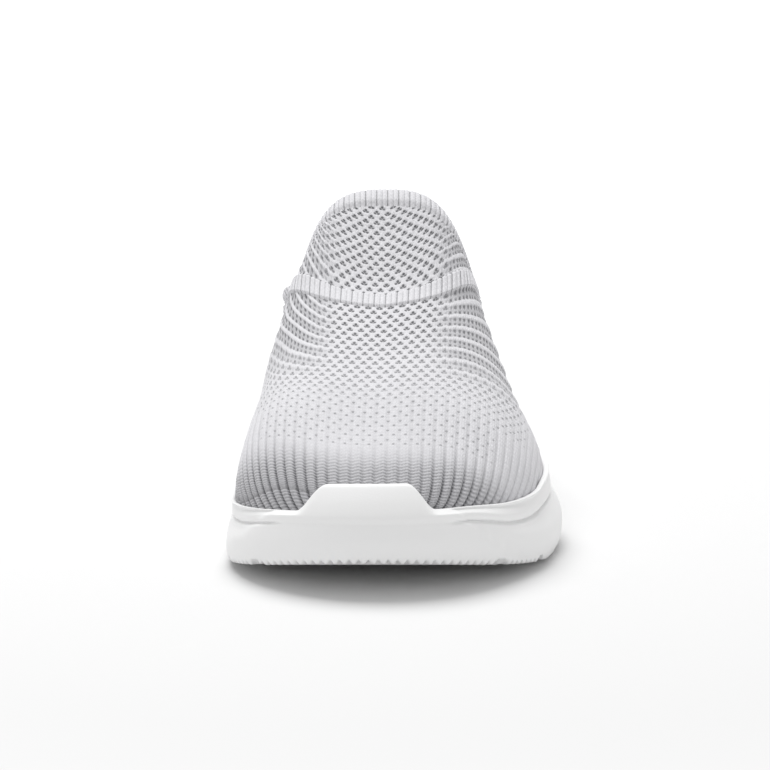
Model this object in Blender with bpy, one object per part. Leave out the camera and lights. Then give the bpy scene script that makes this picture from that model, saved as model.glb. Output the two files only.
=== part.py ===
"""Backless knitted slip-on shoe for the left foot: a knitted upper, a moulded foam sole and an insole.

The toe points along -Y, the outer side of the foot is +X, and the origin is the middle of the
bounding box on the floor. Distances named "behind" are measured back from the toe tip of the sole.
"""

import bmesh
import bpy
import numpy as np
from mathutils import Matrix

# Driving sizes, in metres
LENGTH = 0.270
BALL_WIDTH = 0.104
HEEL_HEIGHT = 0.040
TONGUE_HEIGHT = 0.1023
TOE_SPRING = 0.0115
SPRING_LENGTH = 0.072
SPRING_POWER = 1.7
ARCH_LIFT = 0.0025
ARCH = (0.44, 0.66)         # stations between which the underside rises
HEEL_BEVEL = 0.005
BEVEL_FROM = 0.92

# Sole
CUP_DEPTH = 0.005
HEEL_RIM = 0.003
HEEL_RIM_RISE = (0.72, 0.88)
RIM_EDGE = 0.0015
BUMPER_RISE = 0.0076
BUMPER_SHIFT = -0.0024      # from the toe tip to the middle of the bumper
BUMPER_TOP = 0.0133         # half its width at the top and at the foot
BUMPER_FOOT = 0.0227
BUMPER_LENGTH = (0.10, 0.16)
FACE_STEP = 0.0008
FACE_FADE = (0.16, 0.26)
FACE_BLEND = 0.002
SIDE_LEAN = 0.0032          # how far the outer side wall leans in towards its groove
MEDIAL_LEAN = 0.5           # the inner side's share of that
LEAN_RISE = (0.05, 0.20)
LEAN_FALL = (0.45, 0.70)
GROOVE_DEPTH = 0.0016
GROOVE_HALF = 0.0012
GROOVE_ENDS = (0.024, 0.031)    # distances from the bumper's middle over which it begins
GROOVE_BACK = (0.12, 0.18)
UNDER_IN = 1.60             # the tread's flat begins this many rim widths in
LUG_PITCH = 0.0225
LUG_GAP = 0.0034
LUG_DEPTH = 0.0018
LUG_FREE = (0.42, 0.66)     # stations without gaps, at the arch
ACROSS = 5                  # points across the tread and the cup's floor

# Upper
WALL = 0.0024
TOE_ROUND = 0.046
TOE_ROUND_POWER = 2.15
UPS = 19                    # points up each side of a section
TOE_ROWS_POWER = 1.6        # draws the rows together towards the toe
BAND_RAISE = 0.0008
CUFF_WIDTH = 0.0055
CUFF_RAISE = 0.0009

# Insole
INSOLE_THICK = 0.0045
INSOLE_EDGE = 0.0012
INSOLE_CUP = 0.0016
CUP_RISE = (0.60, 0.85)
DISH_POWER = 2.5
INSOLE_WIDENS = (0.004, 0.05)   # stations behind the collar over which it fills the open heel

FIT = 0.00035       # clearance between pieces that touch
FINE = 240          # points on each side of the outline from toe to heel
RING_STEP = 6       # every sixth of them carries the rings of the sole
CURVE_POINTS = 181
TINY = 1e-6
SHARP_FROM = np.radians(40)
HUG_RANGE = (0.001, 0.022)      # where the rim's inner wall is looked for, outside and inside the edge
HUG_STEPS = 40


def table(columns, *rows):
    """A short table as named columns, one row for each section."""
    return dict(zip(columns.split(), np.array(rows, float).T))


# Stations are shares of LENGTH behind the toe, widths are shares of BALL_WIDTH
OUTLINE = table(
    "station centre medial lateral",
    (0.00, -0.033, 0.405, 0.418),
    (0.10, -0.024, 0.440, 0.464),
    (0.20, -0.010, 0.460, 0.512),
    (0.30, 0.000, 0.460, 0.536),
    (0.38, 0.000, 0.440, 0.512),
    (0.48, 0.000, 0.402, 0.452),
    (0.58, 0.000, 0.372, 0.410),
    (0.68, 0.000, 0.355, 0.385),
    (0.78, 0.000, 0.350, 0.370),
    (0.88, 0.000, 0.350, 0.360),
    (1.00, 0.000, 0.335, 0.350),
)
TOE_CAP = 0.20
TOE_CAP_POWER = 2.1
HEEL_CAP = 0.14
HEEL_CAP_POWER = 2.2

# Heights of the side are shares of HEEL_HEIGHT, the widths of its rim are shares of BALL_WIDTH
SIDE = table(
    "station rim_medial rim_lateral drop_medial drop_lateral width_medial width_lateral",
    (0.00, 0.655, 0.655, 0.085, 0.085, 0.044, 0.044),
    (0.04, 0.615, 0.640, 0.085, 0.100, 0.042, 0.046),
    (0.10, 0.560, 0.590, 0.120, 0.150, 0.035, 0.052),
    (0.25, 0.500, 0.600, 0.155, 0.185, 0.030, 0.060),
    (0.40, 0.570, 0.690, 0.185, 0.205, 0.029, 0.064),
    (0.55, 0.750, 0.790, 0.215, 0.215, 0.030, 0.058),
    (0.70, 0.875, 0.865, 0.225, 0.225, 0.035, 0.052),
    (0.85, 0.955, 0.945, 0.230, 0.230, 0.046, 0.050),
    (1.00, 1.000, 1.000, 0.230, 0.230, 0.050, 0.050),
)

# Sections of the upper: height of the top line in shares of TONGUE_HEIGHT, its place across in
# shares of BALL_WIDTH, how square each side's curve is across and upward, and the share of the
# width that the waist takes off two thirds of the way up
SECTIONS = table(
    "station top across medial_x medial_z lateral_x lateral_z waist",
    (0.00, 0.435, -0.033, 2.0, 2.0, 2.0, 2.0, 0.000),
    (0.10, 0.467, -0.028, 2.4, 2.2, 2.1, 1.9, 0.000),
    (0.20, 0.551, -0.018, 2.8, 2.2, 2.3, 1.6, 0.000),
    (0.30, 0.605, -0.008, 2.9, 2.1, 2.3, 1.5, 0.000),
    (0.40, 0.690, 0.000, 3.0, 2.1, 2.4, 1.5, 0.000),
    (0.45, 0.743, 0.004, 3.6, 2.5, 2.8, 1.7, 0.000),
    (0.51, 0.873, 0.008, 4.0, 2.6, 3.0, 2.0, 0.065),
    (0.563, 1.000, 0.008, 2.9, 2.1, 2.7, 1.9, 0.100),
    (0.59, 1.010, 0.008, 3.0, 2.4, 2.5, 1.8, 0.090),
    (0.62, 1.016, 0.009, 3.5, 2.9, 2.3, 1.6, 0.000),
    (0.65, 1.020, 0.010, 3.5, 3.6, 2.1, 1.6, 0.000),
    (0.77, 1.020, 0.010, 3.5, 4.4, 2.1, 1.9, 0.000),
)
LINES = table(
    "up band_front band_back collar",
    (0.00, 0.725, 0.743, 0.770),
    (0.08, 0.718, 0.737, 0.765),
    (0.18, 0.694, 0.714, 0.744),
    (0.28, 0.636, 0.658, 0.690),
    (0.36, 0.578, 0.600, 0.628),
    (0.42, 0.547, 0.570, 0.598),
    (0.48, 0.522, 0.547, 0.579),
    (0.54, 0.502, 0.529, 0.571),
    (0.62, 0.476, 0.506, 0.567),
    (0.75, 0.436, 0.466, 0.564),
    (0.88, 0.410, 0.440, 0.563),
    (1.00, 0.400, 0.430, 0.563),
)
BAND_BOW = 0.009            # station by which the band runs ahead inside and behind outside
BAND_ENDS = (0.20, 0.42)    # shares of the way up between which the band rises out of the wall


def smooth(columns, name, at):
    """Value of a table's column at the given stations, on a cubic through its rows."""
    key = columns.get("station", columns.get("up"))
    value = columns[name]
    slope = np.gradient(value, key)
    at = np.clip(at, key[0], key[-1])
    row = np.clip(np.searchsorted(key, at, side="right") - 1, 0, len(key) - 2)
    span = key[row + 1] - key[row]
    s = (at - key[row]) / span
    start = (2 * s**3 - 3 * s**2 + 1) * value[row] + (s**3 - 2 * s**2 + s) * span * slope[row]
    end = (3 * s**2 - 2 * s**3) * value[row + 1] + (s**3 - s**2) * span * slope[row + 1]
    return start + end


def ease(value, low, high):
    """0 below low, 1 above high, and a smooth rise between them."""
    s = np.clip((value - low) / (high - low), 0.0, 1.0)
    return s * s * (3 - 2 * s)


def round_end(share, power):
    """Rise from 0 to 1 along a rounded end, as a quarter of a superellipse."""
    return (1 - (1 - np.clip(share, 0.0, 1.0)) ** power) ** (1 / power)


def outline_points():
    """Closed outline of the sole from above, its normals, stations and sides, and its axis's X.

    It runs from the toe tip down the medial side to the heel and back up the lateral side.
    """
    turn = np.pi * np.arange(FINE + 1) / FINE
    down = (1 - np.cos(turn)) / 2
    station = np.concatenate([down, down[-2:0:-1]])
    side = np.concatenate([np.zeros(FINE + 1), np.ones(FINE - 1)])
    cap = round_end(station / TOE_CAP, TOE_CAP_POWER)
    cap *= round_end((1 - station) / HEEL_CAP, HEEL_CAP_POWER)
    medial = -smooth(OUTLINE, "medial", station)
    half = np.where(side > 0, smooth(OUTLINE, "lateral", station), medial)
    x = (smooth(OUTLINE, "centre", station) + half * cap) * BALL_WIDTH
    y = station * LENGTH
    points = np.stack([x, y], axis=1)
    shift = (x.max() + x.min()) / 2
    points[:, 0] -= shift
    points[:, 1] -= LENGTH / 2
    tangent = np.roll(points, -1, axis=0) - np.roll(points, 1, axis=0)
    tangent /= np.linalg.norm(tangent, axis=1)[:, None]
    normal = np.stack([-tangent[:, 1], tangent[:, 0]], axis=1)
    if np.dot(normal[0], [0, -1]) < 0:
        normal = -normal
    return points, normal, station, side, -shift


OUTER, NORMAL, STATION, SIDE_OF, AXIS = outline_points()


def by_side(name, station, side):
    """A pair of columns of the side table, read on the medial (0) or lateral (1) side."""
    lateral = smooth(SIDE, name + "_lateral", station)
    return np.where(side > 0, lateral, smooth(SIDE, name + "_medial", station))


def bottom(station):
    """Height of the sole's underside: toe spring, forefoot flat, arch, heel flat and heel bevel."""
    behind = station * LENGTH
    spring = TOE_SPRING * np.clip(1 - behind / SPRING_LENGTH, 0, 1) ** SPRING_POWER
    along = np.clip((station - ARCH[0]) / (ARCH[1] - ARCH[0]), 0, 1)
    arch = ARCH_LIFT * np.sin(np.pi * along) ** 2
    heel = HEEL_BEVEL * np.clip((station - BEVEL_FROM) / (1 - BEVEL_FROM), 0, 1) ** 2
    return spring + arch + heel


def rim(station, side):
    """Height of the sole's edge where it meets the upper, without the toe bumper."""
    return HEEL_HEIGHT * by_side("rim", station, side)


def cup_floor(station):
    """Height of the floor of the sole's cup, level from side to side."""
    edge = (rim(station, 0) + rim(station, 1)) / 2
    return edge - CUP_DEPTH - HEEL_RIM * ease(station, *HEEL_RIM_RISE)


# The upper's lower edge from above: the outline moved in by the rim's width
FOOT = OUTER - NORMAL * BALL_WIDTH * by_side("width", STATION, SIDE_OF)[:, None]
MEDIAL_LINE = FOOT[: FINE + 1]
LATERAL_LINE = np.concatenate([FOOT[:1], FOOT[: FINE - 1 : -1]])
TOE_BACK = FOOT[0, 1]       # Y of the upper's lower edge at the toe tip


def half_edges(y):
    """X of the upper's lower edge at Y, on the medial and the lateral side."""
    medial = np.interp(y, MEDIAL_LINE[:, 1], MEDIAL_LINE[:, 0])
    lateral = np.interp(y, LATERAL_LINE[:, 1], LATERAL_LINE[:, 0])
    return medial, lateral


def top_line(y):
    """X and height of the upper's top line at Y, rounded down to its lower edge at the toe."""
    station = (y + LENGTH / 2) / LENGTH
    base = (rim(station, 0) + rim(station, 1)) / 2
    high = TONGUE_HEIGHT * smooth(SECTIONS, "top", station)
    z = base + (high - base) * round_end((y - TOE_BACK) / TOE_ROUND, TOE_ROUND_POWER)
    return BALL_WIDTH * smooth(SECTIONS, "across", station) + AXIS, z


def drawn_in(station, share):
    """Factor on the half width at a share of the height: the waist is deepest two thirds up."""
    return 1 - smooth(SECTIONS, "waist", station) * 6.75 * share * share * (1 - share)


def side_curve(y, side, up):
    """X and Z on one side of the section at Y, for shares up of its length from edge to top line."""
    station = (y + LENGTH / 2) / LENGTH
    name = "lateral" if side else "medial"
    power_x = smooth(SECTIONS, name + "_x", station)
    power_z = smooth(SECTIONS, name + "_z", station)
    turn = np.linspace(0, np.pi / 2, CURVE_POINTS)
    edge = half_edges(y)[side]
    middle, high = top_line(y)
    base = np.minimum(rim(station, side), high)
    rise = np.sin(turn) ** (2 / power_z)
    across = np.cos(turn).clip(0) ** (2 / power_x) * drawn_in(station, rise)
    x = middle + (edge - middle) * across
    z = base + (high - base) * rise
    run = np.concatenate([[0], np.cumsum(np.hypot(np.diff(x), np.diff(z)))])
    share = run / max(run[-1], 1e-9)
    return np.interp(up, share, x), np.interp(up, share, z)


def inside(x, y, z):
    """Below 0 inside the upper's outer face, above 0 outside it, for points above its spring line."""
    station = (y + LENGTH / 2) / LENGTH
    medial, lateral = half_edges(y)
    middle, high = top_line(y)
    on_lateral = x > middle
    edge = np.where(on_lateral, lateral, medial)
    power_x = smooth(SECTIONS, "lateral_x", station)
    power_x = np.where(on_lateral, power_x, smooth(SECTIONS, "medial_x", station))
    power_z = smooth(SECTIONS, "lateral_z", station)
    power_z = np.where(on_lateral, power_z, smooth(SECTIONS, "medial_z", station))
    base = rim(station, on_lateral)
    half = np.where(np.abs(edge - middle) < TINY, TINY, edge - middle)
    upward = np.clip((z - base) / np.maximum(high - base, TINY), 0, None)
    across = np.abs((x - middle) / half) / drawn_in(station, np.minimum(upward, 1))
    return np.where(y <= TOE_BACK, 1.0, across**power_x + upward**power_z - 1)


def hug(index, z):
    """How far in from the outline the sole's inner wall stands at height z, clear of the upper."""
    station = STATION[index]
    side = SIDE_OF[index]
    width = BALL_WIDTH * by_side("width", station, side)
    near = width - HUG_RANGE[0]
    far = width + HUG_RANGE[1]
    for _ in range(HUG_STEPS):
        middle = (near + far) / 2
        at = OUTER[index] - NORMAL[index] * middle[:, None]
        out = inside(at[:, 0], at[:, 1], z) > 0
        near = np.where(out, middle, near)
        far = np.where(out, far, middle)
    above = z > rim(station, side) + TINY
    return np.where(above, far - 2 * FIT, width - FIT)


def moved_in(index, inset):
    """Outline points moved in by inset, with the stations that they come to lie at."""
    flat = OUTER[index] - NORMAL[index] * inset[:, None]
    return flat, (flat[:, 1] + LENGTH / 2) / LENGTH


def new_object(name, points, faces, material, group):
    """One closed mesh object with outward faces."""
    mesh = bpy.data.meshes.new(name)
    mesh.from_pydata([tuple(p) for p in points], [], faces)
    mesh.validate()
    mesh.update()
    mesh.shade_smooth()
    mesh.set_sharp_from_angle(angle=SHARP_FROM)
    mesh.materials.append(material)
    made = bpy.data.objects.new(name, mesh)
    group.objects.link(made)
    return made


def new_material(name, colour, roughness):
    """A plain surface with the given colour and roughness."""
    made = bpy.data.materials.new(name)
    made.use_nodes = True
    surface = made.node_tree.nodes["Principled BSDF"]
    surface.inputs["Base Color"].default_value = (*colour, 1.0)
    surface.inputs["Roughness"].default_value = roughness
    surface.inputs["Metallic"].default_value = 0.0
    made.diffuse_color = (*colour, 1.0)
    return made


def ladder(medial, lateral, height, columns):
    """Points between paired points of two lines, row by row, with their heights from a function."""
    share = np.linspace(0, 1, columns)[None, :, None]
    flat = medial[:, None, :] * (1 - share) + lateral[:, None, :] * share
    z = height(flat, share[0, :, 0])
    return np.concatenate([flat, z[:, :, None]], axis=2)


def closed_from_rings(rings, low_height, high_height, columns):
    """Points and faces of a body whose side is rings and whose two ends are ladders across it.

    Each ring runs from the toe down the medial side and back up the lateral side. The first ring
    carries the lower ladder and the last the upper one.
    """
    count = len(rings[0])
    half = count // 2
    points = np.concatenate(rings)
    faces = []
    for ring in range(len(rings) - 1):
        for at in range(count):
            after = (at + 1) % count
            a = ring * count
            faces.append((a + at, a + count + at, a + count + after, a + after))
    total = len(points)
    extra = []
    for ring, height, flip in ((0, low_height, True), (len(rings) - 1, high_height, False)):
        loop = rings[ring]
        medial = loop[1:half]
        lateral = loop[: half : -1]
        rows = ladder(medial[:, :2], lateral[:, :2], height, columns)
        base = ring * count
        number = np.zeros((half - 1, columns), int)
        number[:, 0] = base + np.arange(1, half)
        number[:, -1] = base + np.arange(count - 1, half, -1)
        inner = rows[:, 1:-1]
        number[:, 1:-1] = total + np.arange(inner.shape[0] * inner.shape[1]).reshape(inner.shape[:2])
        extra.append(inner.reshape(-1, 3))
        total += inner.shape[0] * inner.shape[1]
        for row in range(half - 2):
            for column in range(columns - 1):
                quad = (
                    number[row, column],
                    number[row, column + 1],
                    number[row + 1, column + 1],
                    number[row + 1, column],
                )
                faces.append(quad[::-1] if flip else quad)
        for column in range(columns - 1):
            toe = (base, number[0, column + 1], number[0, column])
            heel = (base + half, number[-1, column], number[-1, column + 1])
            faces.append(toe[::-1] if flip else toe)
            faces.append(heel[::-1] if flip else heel)
    return np.concatenate([points, *extra]), [tuple(int(v) for v in face) for face in faces]


def sole(material, group, cutters):
    """Moulded sole: flared side with its groove, toe bumper, rim, cup and lugs under it."""
    index = np.arange(0, 2 * FINE, RING_STEP)
    station = STATION[index]
    side = SIDE_OF[index]
    width = BALL_WIDTH * by_side("width", station, side)
    low = bottom(station)
    edge = rim(station, side)
    off_axis = np.abs(OUTER[index, 0] - OUTER[0, 0] - BUMPER_SHIFT)
    in_front = 1 - ease(station, *BUMPER_LENGTH)
    top = edge + BUMPER_RISE * in_front * (1 - ease(off_axis, BUMPER_TOP, BUMPER_FOOT))
    height = edge - low
    groove = edge - HEEL_HEIGHT * by_side("drop", station, side)
    cut = GROOVE_DEPTH * np.maximum(ease(off_axis, *GROOVE_ENDS), ease(station, *GROOVE_BACK))
    lean = SIDE_LEAN * np.where(side > 0, 1, MEDIAL_LEAN)
    lean = lean * ease(station, *LEAN_RISE) * (1 - ease(station, *LEAN_FALL))
    flat, at = moved_in(index, width - FIT)
    floor = cup_floor(at)
    rim_in = hug(index, top)
    rim_out = rim_in - RIM_EDGE
    middle = (floor + top) / 2
    upper_half = (middle + top) / 2
    above = np.minimum(0.15 * width + 0.9 * lean, 0.9 * rim_out)
    above_z = groove + GROOVE_HALF

    def wall_ring(inset, z):
        return np.column_stack([moved_in(index, inset)[0], z])

    def side_ring(inset, z):
        """A ring whose points beside the bumper's face are set back by a small step."""
        face_edge = BUMPER_TOP + (top.max() - z)
        beside = ease(off_axis, face_edge - FACE_BLEND, face_edge + FACE_BLEND)
        return wall_ring(inset + FACE_STEP * beside * (1 - ease(station, *FACE_FADE)), z)

    rings = [
        wall_ring(UNDER_IN * width, low),
        side_ring(0.50 * width, low),
        side_ring(0.17 * width, low + 0.09 * height),
        side_ring(0.03 * width, low + 0.28 * height),
        side_ring(0.15 * lean, low + 0.46 * height),
        side_ring(0.85 * above, groove - GROOVE_HALF),
        side_ring(above + cut, groove),
        side_ring(above, above_z),
        side_ring(above + 0.4 * (rim_out - above), above_z + 0.55 * (top - above_z)),
        side_ring(above + 0.7 * (rim_out - above), above_z + 0.85 * (top - above_z)),
        wall_ring(rim_out, top),
        wall_ring(rim_in, top),
        wall_ring(hug(index, upper_half), upper_half),
        wall_ring(hug(index, middle), middle),
        wall_ring(width - FIT, floor),
    ]

    def low_height(flat, _):
        return bottom((flat[:, :, 1] + LENGTH / 2) / LENGTH)

    def high_height(flat, _):
        return cup_floor((flat[:, :, 1] + LENGTH / 2) / LENGTH)

    points, faces = closed_from_rings(rings, low_height, high_height, ACROSS)
    made = new_object("sole", points, faces, material, group)
    cut_lugs = made.modifiers.new("lugs", "BOOLEAN")
    cut_lugs.operation = "DIFFERENCE"
    cut_lugs.object = lug_cutter(cutters)
    return made


def lug_cutter(cutters):
    """Bars across the underside that part the tread into lugs, before and behind the arch."""
    below = -LUG_PITCH / 4
    bars = bmesh.new()
    for behind in np.arange(LUG_PITCH, LENGTH - LUG_PITCH / 2, LUG_PITCH):
        if LUG_FREE[0] < behind / LENGTH < LUG_FREE[1]:
            continue
        top = float(bottom(np.array(behind / LENGTH))) + LUG_DEPTH
        size = Matrix.Diagonal((1.4 * BALL_WIDTH, LUG_GAP, top - below, 1))
        place = Matrix.Translation((0, behind - LENGTH / 2, (top + below) / 2))
        bmesh.ops.create_cube(bars, size=1, matrix=place @ size)
    mesh = bpy.data.meshes.new("lug_cutter")
    bars.to_mesh(mesh)
    bars.free()
    made = bpy.data.objects.new("lug_cutter", mesh)
    made.hide_render = True
    made.display_type = "WIRE"
    cutters.objects.link(made)
    return made


def insole(material, group):
    """Insole in the cup: inside the upper's wall in front, against the sole's rim at the open heel."""
    index = np.arange(0, 2 * FINE, RING_STEP)
    station = STATION[index]
    side = SIDE_OF[index]
    width = BALL_WIDTH * by_side("width", station, side)
    collar = LINES["collar"][0]
    behind_upper = ease(station, collar + INSOLE_WIDENS[0], collar + INSOLE_WIDENS[1])
    inset = width + FIT + (WALL + FIT) * (1 - behind_upper)

    def lift(at):
        return INSOLE_CUP * ease(at, *CUP_RISE)

    def ring(more, up, down):
        flat, at = moved_in(index, inset + more)
        return np.column_stack([flat, cup_floor(at) + FIT + up * (INSOLE_THICK + lift(at)) - down])

    rings = [
        ring(0, 0, 0),
        ring(0, 1, INSOLE_EDGE),
        ring(0.3 * INSOLE_EDGE, 1, 0.3 * INSOLE_EDGE),
        ring(INSOLE_EDGE, 1, 0),
    ]

    def low_height(flat, _):
        return cup_floor((flat[:, :, 1] + LENGTH / 2) / LENGTH) + FIT

    def high_height(flat, share):
        at = (flat[:, :, 1] + LENGTH / 2) / LENGTH
        dish = (2 * np.abs(share - 0.5)[None, :]) ** DISH_POWER
        return cup_floor(at) + FIT + INSOLE_THICK + lift(at) * dish

    points, faces = closed_from_rings(rings, low_height, high_height, 8)
    return new_object("insole", points, faces, material, group)


def upper_rows():
    """Share of the way along each stretch of the upper, and the stretch, for every row of its grid."""
    rows = [(0, s) for s in np.linspace(0, 1, 17)[:-1] ** TOE_ROWS_POWER]
    rows += [(1, s) for s in (0.0, 0.12, 0.5, 0.88)]
    rows += [(2, s) for s in (0.0, 0.2, 0.4, 0.6, 0.8)]
    rows += [(3, s) for s in (0.0, 0.3, 0.65, 1.0)]
    return rows


def upper(material, group):
    """Knitted upper: one hollow wall from the toe to the collar, with its band and its cuff."""
    ups = np.linspace(0, 1, UPS)
    columns = [(0, None)] + [(0, up) for up in ups] + [(1, up) for up in ups[-2::-1]] + [(1, None)]
    rows = upper_rows()
    face = np.zeros((len(rows), len(columns), 3))
    raised = np.zeros(face.shape[:2])
    inner_raised = np.zeros(face.shape[:2])
    for j, (side, up) in enumerate(columns):
        share = 0.0 if up is None else up
        bow = (1 if side else -1) * 4 * BAND_BOW * share * (1 - share)
        front = float(smooth(LINES, "band_front", share) + bow) * LENGTH
        back = float(smooth(LINES, "band_back", share) + bow) * LENGTH
        collar = float(smooth(LINES, "collar", share)) * LENGTH
        knots = (TOE_BACK + LENGTH / 2, front, back, collar - CUFF_WIDTH, collar)
        band = BAND_RAISE * float(ease(share, *BAND_ENDS))
        for i, (part, s) in enumerate(rows):
            y = knots[part] + (knots[part + 1] - knots[part]) * s - LENGTH / 2
            x, z = side_curve(y, side, share)
            if up is None:
                z = float(cup_floor((y + LENGTH / 2) / LENGTH)) + FIT
            face[i, j] = (x, y, z)
            if part == 1 and s > 0:
                raised[i, j] = band
            if part == 3 and s > 0 and up is not None and up > 0:
                raised[i, j] = CUFF_RAISE
                inner_raised[i, j] = CUFF_RAISE
    along = np.gradient(face, axis=0)
    round_ = np.gradient(face, axis=1)
    normal = np.cross(along, round_)
    normal[:, [0, 1, -2, -1], 2] = 0
    normal /= np.maximum(np.linalg.norm(normal, axis=2), 1e-12)[:, :, None]
    normal[0] = (0, -1, 0)
    outward = np.sign(np.sum(normal[6, :, 2]))
    normal[1:] *= outward
    outer = face + normal * raised[:, :, None]
    inner = face - normal * (WALL + inner_raised)[:, :, None]
    inner[:, [0, -1], 2] = outer[:, [0, -1], 2]
    edge = (outer[-1] + inner[-1]) / 2
    ahead = outer[-1] - outer[-3]
    ahead /= np.linalg.norm(ahead, axis=1)[:, None]
    edge += ahead * (WALL / 2 + CUFF_RAISE) * (raised[-1] > 0)[:, None]
    rows_n, cols_n = outer.shape[:2]
    points = np.concatenate([outer.reshape(-1, 3), inner.reshape(-1, 3), edge])
    number = np.arange(rows_n * cols_n).reshape(rows_n, cols_n)
    number[0] = np.minimum(number[0], number[0][::-1])
    number[0, 1:-1] = number[0, 1]
    other = number + rows_n * cols_n
    lip = 2 * rows_n * cols_n + np.arange(cols_n)
    faces = []
    for i in range(rows_n - 1):
        for j in range(cols_n - 1):
            faces.append((number[i, j], number[i, j + 1], number[i + 1, j + 1], number[i + 1, j]))
            faces.append((other[i, j], other[i + 1, j], other[i + 1, j + 1], other[i, j + 1]))
        faces.append((number[i, 0], number[i + 1, 0], other[i + 1, 0], other[i, 0]))
        faces.append((number[i, -1], other[i, -1], other[i + 1, -1], number[i + 1, -1]))
    for j in range(cols_n - 1):
        faces.append((number[-1, j], number[-1, j + 1], lip[j + 1], lip[j]))
        faces.append((lip[j], lip[j + 1], other[-1, j + 1], other[-1, j]))
    faces.append((number[-1, 0], lip[0], other[-1, 0]))
    faces.append((number[-1, -1], other[-1, -1], lip[-1]))
    clean = []
    for quad in faces:
        kept = []
        for corner in quad:
            if int(corner) not in kept:
                kept.append(int(corner))
        if len(kept) > 2:
            clean.append(tuple(kept))
    used = sorted({corner for quad in clean for corner in quad})
    place = {old: new for new, old in enumerate(used)}
    clean = [tuple(place[corner] for corner in quad) for quad in clean]
    return new_object("upper", points[used], clean, material, group)


def main():
    for old in list(bpy.data.objects):
        bpy.data.objects.remove(old, do_unlink=True)
    group = bpy.data.collections.new("sneaker_mule")
    cutters = bpy.data.collections.new("cutters")
    bpy.context.scene.collection.children.link(group)
    bpy.context.scene.collection.children.link(cutters)
    knit = new_material("grey_knit", (0.66, 0.66, 0.68), 0.9)
    foam = new_material("white_foam", (0.86, 0.86, 0.86), 0.55)
    cloth = new_material("insole_cloth", (0.62, 0.62, 0.64), 0.95)
    sole(foam, group, cutters)
    insole(cloth, group)
    upper(knit, group)


main()
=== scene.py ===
"""Looks of a backless knitted slip-on for the left foot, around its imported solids.

The toe points along -Y, the outer side of the foot is +X. Lengths are in metres. The knit is one
surface in three coordinates: r, the distance along the top line from the toe, c, the share of the
section across from the top line (-1 at the sole on the inner side, 1 on the outer side), and the
fabric's own columns and rows, which its holes, ribs and ridges follow.
"""

import bmesh
import bpy
import numpy as np
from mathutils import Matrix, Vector


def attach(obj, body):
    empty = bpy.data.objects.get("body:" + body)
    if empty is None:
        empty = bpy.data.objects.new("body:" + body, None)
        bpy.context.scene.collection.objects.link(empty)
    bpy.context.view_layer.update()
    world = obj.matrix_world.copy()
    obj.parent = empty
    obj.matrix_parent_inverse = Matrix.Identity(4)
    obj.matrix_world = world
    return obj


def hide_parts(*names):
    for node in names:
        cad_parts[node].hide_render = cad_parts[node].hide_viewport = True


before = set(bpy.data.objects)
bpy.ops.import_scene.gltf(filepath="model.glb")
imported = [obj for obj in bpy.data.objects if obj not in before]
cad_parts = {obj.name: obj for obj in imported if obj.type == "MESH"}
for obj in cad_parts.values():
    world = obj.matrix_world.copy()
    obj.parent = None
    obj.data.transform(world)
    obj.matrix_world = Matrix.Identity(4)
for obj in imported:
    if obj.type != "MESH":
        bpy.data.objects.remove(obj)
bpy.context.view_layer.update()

# Sizes of the solids, as in the part's source
LENGTH = 0.270
BALL_WIDTH = 0.104
HEEL_HEIGHT = 0.040
TONGUE_HEIGHT = 0.1023
TOE_SPRING, SPRING_LENGTH, SPRING_POWER = 0.0115, 0.072, 1.7
ARCH_LIFT, ARCH = 0.0025, (0.44, 0.66)
HEEL_BEVEL, BEVEL_FROM = 0.005, 0.92
CUP_DEPTH = 0.005
HEEL_RIM = 0.003
HEEL_RIM_RISE = (0.72, 0.88)
RIM_EDGE = 0.0015
BUMPER_RISE = 0.0076
BUMPER_SHIFT = -0.0024
BUMPER_TOP = 0.0128
BUMPER_FOOT = 0.0240
BUMPER_LENGTH = (0.10, 0.16)
FACE_STEP = 0.0008
FACE_FADE = (0.16, 0.26)
FACE_BLEND = 0.0012
SIDE_LEAN = 0.0032
MEDIAL_LEAN = 0.5
LEAN_RISE = (0.05, 0.20)
LEAN_FALL = (0.45, 0.70)
GROOVE_DEPTH = 0.0016
GROOVE_HALF = 0.0012
GROOVE_ENDS = (0.024, 0.031)
GROOVE_BACK = (0.12, 0.18)
LUG_PITCH = 0.0225
LUG_GAP = 0.0034
LUG_DEPTH = 0.0018
LUG_FREE = (0.42, 0.66)
LUG_EDGE = 0.0004
WALL = 0.0024
TOE_ROUND = 0.046
TOE_ROUND_POWER = 2.15
BAND_RAISE = 0.0008
CUFF_WIDTH = 0.0055
CUFF_RAISE = 0.0009
INSOLE_THICK = 0.0045
INSOLE_CUP = 0.0016
INSOLE_EDGE = 0.0012
CUP_RISE = (0.60, 0.85)
DISH_POWER = 2.5
OPEN_FROM = (0.774, 0.820)   # stations between which the insole widens into the open heel
FIT = 0.00035
CLOSE = 0.0001          # clearance between the foam and the knit
TINY = 1e-6             # smallest length that counts, also the distance at which points weld

# The knit
COLUMN = 0.0036         # one column of holes, one rib of the toe
RIB_DEPTH = 0.00085
HOLE_DEPTH = 0.00042
RIDGE_DEPTH = 0.00036
BAND_RIB_DEPTH = 0.00028
CUFF_RIB_DEPTH = 0.0003
CALM = 0.0012           # length over which the relief ends at the band and the cuff
TUCK = 0.0035           # how far the knit goes down behind the sole's edge
TEETH = 0.0030          # pitch of the small teeth round the tread
TEETH_DEPTH = 0.0012
TEETH_POWER = 1.6       # above 1 the teeth are pointed upwards

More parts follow.
